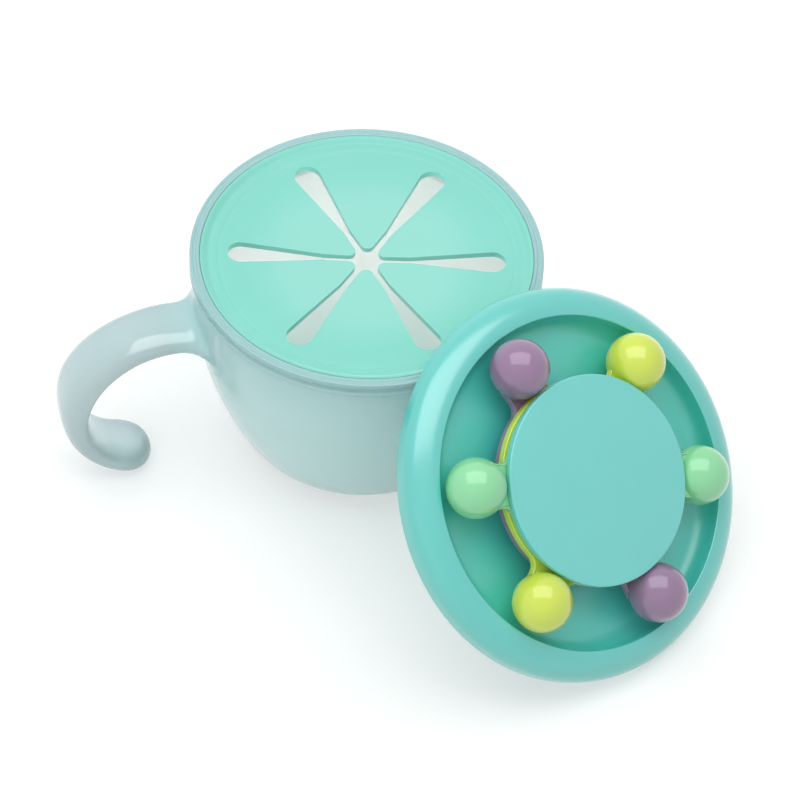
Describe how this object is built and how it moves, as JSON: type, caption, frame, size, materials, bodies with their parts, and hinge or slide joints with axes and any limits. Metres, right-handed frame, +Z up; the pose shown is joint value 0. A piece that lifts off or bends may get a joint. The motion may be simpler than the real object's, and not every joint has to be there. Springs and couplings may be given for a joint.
{
  "type": "toddler snack container",
  "caption": "Round snack cup with side handle, soft petal cover in a trap ring, and a lid with three bead spinners, shown off and leaning on the cup.",
  "frame": {"origin": "middle of the cup's flat base, where it stands on the floor", "axes": "+Z up along the cup's axis, -X towards the handle"},
  "size_m": [0.1789, 0.1628, 0.0812],
  "materials": {
    "frosted_blue": "frosted, slightly see-through",
    "ring_blue": "satin, slightly see-through",
    "soft_mint": "soft satin",
    "turquoise": "satin",
    "purple": "gloss",
    "lime": "gloss",
    "bead_mint": "gloss"
  },
  "bodies": {
    "cup": {"cup": "frosted_blue"},
    "trap": {"trap_ring": "ring_blue", "cover_band": "soft_mint"},
    "petal_1": {"petal_1": "soft_mint"},
    "petal_2": {"petal_2": "soft_mint"},
    "petal_3": {"petal_3": "soft_mint"},
    "petal_4": {"petal_4": "soft_mint"},
    "petal_5": {"petal_5": "soft_mint"},
    "petal_6": {"petal_6": "soft_mint"},
    "lid": {"lid_shell": "turquoise", "lid_cap": "turquoise"},
    "purple": {"spinner_purple": "purple", "bead_purple_1": "purple", "bead_purple_2": "purple"},
    "lime": {"spinner_lime": "lime", "bead_lime_1": "lime", "bead_lime_2": "lime"},
    "mint": {"spinner_mint": "bead_mint", "bead_mint_1": "bead_mint", "bead_mint_2": "bead_mint"}
  },
  "joints": [
    {"name": "trap_turn", "type": "hinge", "parent": "cup", "child": "trap", "pos_m": [0, 0, 0.0654], "axis": [0, 0, 1], "continuous": true},
    {"name": "petal_1_bend", "type": "hinge", "parent": "trap", "child": "petal_1", "pos_m": [0.02819, 0.00761, 0.06642], "axis": [0.2605, -0.9655, 0], "range_deg": [-45, 55], "stiffness_Nm_per_rad": 0.05},
    {"name": "petal_2_bend", "type": "hinge", "parent": "trap", "child": "petal_2", "pos_m": [0.00751, 0.02822, 0.06642], "axis": [0.9664, -0.2571, 0], "range_deg": [-45, 55], "stiffness_Nm_per_rad": 0.05},
    {"name": "petal_3_bend", "type": "hinge", "parent": "trap", "child": "petal_3", "pos_m": [-0.02068, 0.02061, 0.06642], "axis": [0.7059, 0.7083, 0], "range_deg": [-45, 55], "stiffness_Nm_per_rad": 0.05},
    {"name": "petal_4_bend", "type": "hinge", "parent": "trap", "child": "petal_4", "pos_m": [-0.02819, -0.00761, 0.06642], "axis": [-0.2605, 0.9655, 0], "range_deg": [-45, 55], "stiffness_Nm_per_rad": 0.05},
    {"name": "petal_5_bend", "type": "hinge", "parent": "trap", "child": "petal_5", "pos_m": [-0.00751, -0.02822, 0.06642], "axis": [-0.9664, 0.2571, 0], "range_deg": [-45, 55], "stiffness_Nm_per_rad": 0.05},
    {"name": "petal_6_bend", "type": "hinge", "parent": "trap", "child": "petal_6", "pos_m": [0.02068, -0.02061, 0.06642], "axis": [-0.7059, -0.7083, 0], "range_deg": [-45, 55], "stiffness_Nm_per_rad": 0.05},
    {"name": "lid_lift", "type": "slide", "parent": "cup", "child": "lid", "axis": [0.38, -0.5919, 0.7108], "range_m": [0, 0.05]},
    {"name": "purple_spin", "type": "hinge", "parent": "lid", "child": "purple", "pos_m": [0.04388, -0.07346, 0.04509], "axis": [0.38, -0.5919, 0.7108], "continuous": true},
    {"name": "lime_spin", "type": "hinge", "parent": "purple", "child": "lime", "pos_m": [0.04388, -0.07346, 0.04509], "axis": [0.38, -0.5919, 0.7108], "range_deg": [-15, 34]},
    {"name": "mint_spin", "type": "hinge", "parent": "purple", "child": "mint", "pos_m": [0.04388, -0.07346, 0.04509], "axis": [0.38, -0.5919, 0.7108], "range_deg": [-30, 15]}
  ]
}
